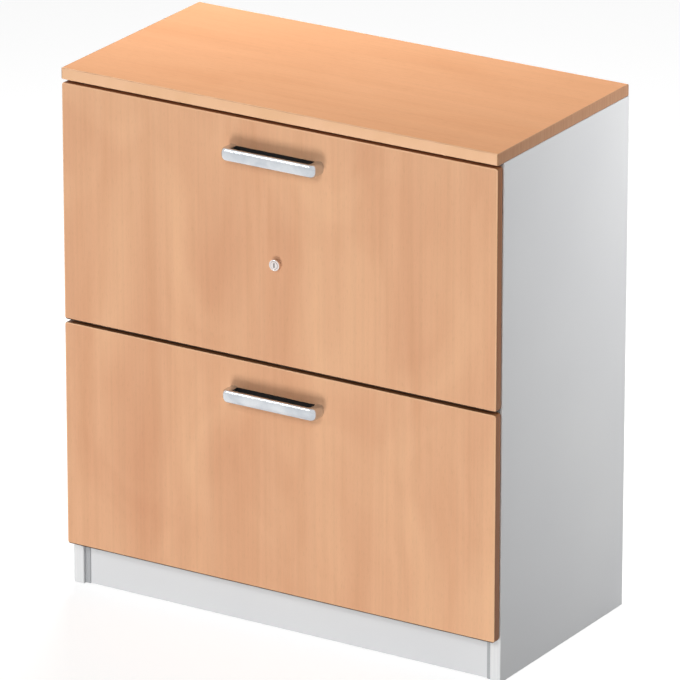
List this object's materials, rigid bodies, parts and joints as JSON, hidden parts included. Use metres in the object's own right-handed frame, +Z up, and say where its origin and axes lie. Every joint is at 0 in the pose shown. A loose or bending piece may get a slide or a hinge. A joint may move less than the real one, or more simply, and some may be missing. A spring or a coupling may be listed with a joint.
{
  "type": "filing cabinet",
  "caption": "Lateral filing cabinet with a beech top, stacked beech-fronted file drawers on runners, bow handles, a lock and a light-grey body on a plinth.",
  "frame": {"origin": "on the floor, at the middle of the footprint, with the handles counted in", "axes": "+Z up, the drawers open towards -Y, +X to the right of someone facing the fronts"},
  "size_m": [0.8, 0.428, 0.88],
  "materials": {
    "light_grey_laminate": "satin",
    "light_grey_edging": "satin",
    "beech_laminate": "satin",
    "beech_edging": "satin",
    "satin_chrome": "satin",
    "black_plastic": "matte",
    "coated_steel": "fine texture",
    "zinc_plated_steel": "bright",
    "polished_nickel": "polished",
    "white_nylon": "matte",
    "dowel_beech": "raw"
  },
  "bodies": {
    "carcass": {"left_side_panel": "light_grey_laminate", "right_side_panel": "light_grey_laminate", "side_edge_bands": "light_grey_edging", "top_panel": "beech_laminate", "top_edge_band": "beech_edging", "bottom_panel": "light_grey_laminate", "back_panel": "light_grey_laminate", "plinth_board": "light_grey_laminate", "rear_plinth_rail": "light_grey_laminate", "front_top_rail": "light_grey_laminate", "mid_rail": "coated_steel", "cam_fittings": "zinc_plated_steel", "connector_bolts": "zinc_plated_steel", "dowels": "dowel_beech", "carcass_screws": "zinc_plated_steel", "front_bumpers": "black_plastic", "leveller_housings": "black_plastic", "lower_runner_cabinet_members": "zinc_plated_steel", "upper_runner_cabinet_members": "zinc_plated_steel"},
    "upper_drawer": {"upper_front": "beech_laminate", "upper_front_edge_band": "beech_edging", "upper_handle": "satin_chrome", "upper_handle_back_plate": "black_plastic", "upper_drawer_left_side": "coated_steel", "upper_drawer_right_side": "coated_steel", "upper_drawer_back": "coated_steel", "upper_drawer_bottom": "coated_steel", "upper_middle_file_rail": "coated_steel", "upper_front_brackets": "coated_steel", "upper_drawer_screws": "zinc_plated_steel", "upper_runner_drawer_members": "zinc_plated_steel", "lock_housing": "polished_nickel", "lock_nut": "zinc_plated_steel", "rod_guides": "white_nylon"},
    "lower_drawer": {"lower_front": "beech_laminate", "lower_front_edge_band": "beech_edging", "lower_handle": "satin_chrome", "lower_handle_back_plate": "black_plastic", "lower_drawer_left_side": "coated_steel", "lower_drawer_right_side": "coated_steel", "lower_drawer_back": "coated_steel", "lower_drawer_bottom": "coated_steel", "lower_middle_file_rail": "coated_steel", "lower_front_brackets": "coated_steel", "lower_drawer_screws": "zinc_plated_steel", "lower_runner_drawer_members": "zinc_plated_steel", "lock_catch": "zinc_plated_steel"},
    "lock_cylinder": {"lock_plug": "polished_nickel", "lock_pinion": "zinc_plated_steel"},
    "lock_rod": {"lock_rod": "zinc_plated_steel"},
    "upper_runner_middle_members": {"upper_runner_middle_members": "zinc_plated_steel"},
    "upper_outer_ball_cages": {"upper_outer_ball_cages": "zinc_plated_steel"},
    "upper_inner_ball_cages": {"upper_inner_ball_cages": "zinc_plated_steel"},
    "lower_runner_middle_members": {"lower_runner_middle_members": "zinc_plated_steel"},
    "lower_outer_ball_cages": {"lower_outer_ball_cages": "zinc_plated_steel"},
    "lower_inner_ball_cages": {"lower_inner_ball_cages": "zinc_plated_steel"},
    "front_left_foot": {"front_left_foot": "black_plastic"},
    "front_right_foot": {"front_right_foot": "black_plastic"},
    "rear_left_foot": {"rear_left_foot": "black_plastic"},
    "rear_right_foot": {"rear_right_foot": "black_plastic"}
  },
  "joints": [
    {"name": "upper_drawer_slide", "type": "slide", "parent": "carcass", "child": "upper_drawer", "axis": [0, -1, 0], "range_m": [0, 0.33]},
    {"name": "upper_runner_middle_members_slide", "type": "slide", "parent": "carcass", "child": "upper_runner_middle_members", "axis": [0, -1, 0], "range_m": [0, 0.165]},
    {"name": "upper_outer_ball_cages_slide", "type": "slide", "parent": "carcass", "child": "upper_outer_ball_cages", "axis": [0, -1, 0], "range_m": [0, 0.0825]},
    {"name": "upper_inner_ball_cages_slide", "type": "slide", "parent": "carcass", "child": "upper_inner_ball_cages", "axis": [0, -1, 0], "range_m": [0, 0.2475]},
    {"name": "lower_drawer_slide", "type": "slide", "parent": "carcass", "child": "lower_drawer", "axis": [0, -1, 0], "range_m": [0, 0.33]},
    {"name": "lower_runner_middle_members_slide", "type": "slide", "parent": "carcass", "child": "lower_runner_middle_members", "axis": [0, -1, 0], "range_m": [0, 0.165]},
    {"name": "lower_outer_ball_cages_slide", "type": "slide", "parent": "carcass", "child": "lower_outer_ball_cages", "axis": [0, -1, 0], "range_m": [0, 0.0825]},
    {"name": "lower_inner_ball_cages_slide", "type": "slide", "parent": "carcass", "child": "lower_inner_ball_cages", "axis": [0, -1, 0], "range_m": [0, 0.2475]},
    {"name": "lock_turn", "type": "hinge", "parent": "upper_drawer", "child": "lock_cylinder", "pos_m": [0, -0.186, 0.62702], "axis": [0, 1, 0], "range_deg": [0, 90]},
    {"name": "lock_rod_drop", "type": "slide", "parent": "upper_drawer", "child": "lock_rod", "axis": [0, 0, -1], "range_m": [0, 0.0102]},
    {"name": "front_left_foot_height", "type": "slide", "parent": "carcass", "child": "front_left_foot", "axis": [0, 0, -1], "range_m": [0, 0.015]},
    {"name": "front_right_foot_height", "type": "slide", "parent": "carcass", "child": "front_right_foot", "axis": [0, 0, -1], "range_m": [0, 0.015]},
    {"name": "rear_left_foot_height", "type": "slide", "parent": "carcass", "child": "rear_left_foot", "axis": [0, 0, -1], "range_m": [0, 0.015]},
    {"name": "rear_right_foot_height", "type": "slide", "parent": "carcass", "child": "rear_right_foot", "axis": [0, 0, -1], "range_m": [0, 0.015]}
  ],
  "couplings": [
    {"joint": "upper_runner_middle_members_slide", "follows": "upper_drawer_slide", "ratio": 0.5},
    {"joint": "upper_outer_ball_cages_slide", "follows": "upper_drawer_slide", "ratio": 0.25},
    {"joint": "upper_inner_ball_cages_slide", "follows": "upper_drawer_slide", "ratio": 0.75},
    {"joint": "lower_runner_middle_members_slide", "follows": "lower_drawer_slide", "ratio": 0.5},
    {"joint": "lower_outer_ball_cages_slide", "follows": "lower_drawer_slide", "ratio": 0.25},
    {"joint": "lower_inner_ball_cages_slide", "follows": "lower_drawer_slide", "ratio": 0.75},
    {"joint": "lock_turn", "follows": "lock_rod_drop", "rad_per_m": 153.85}
  ]
}
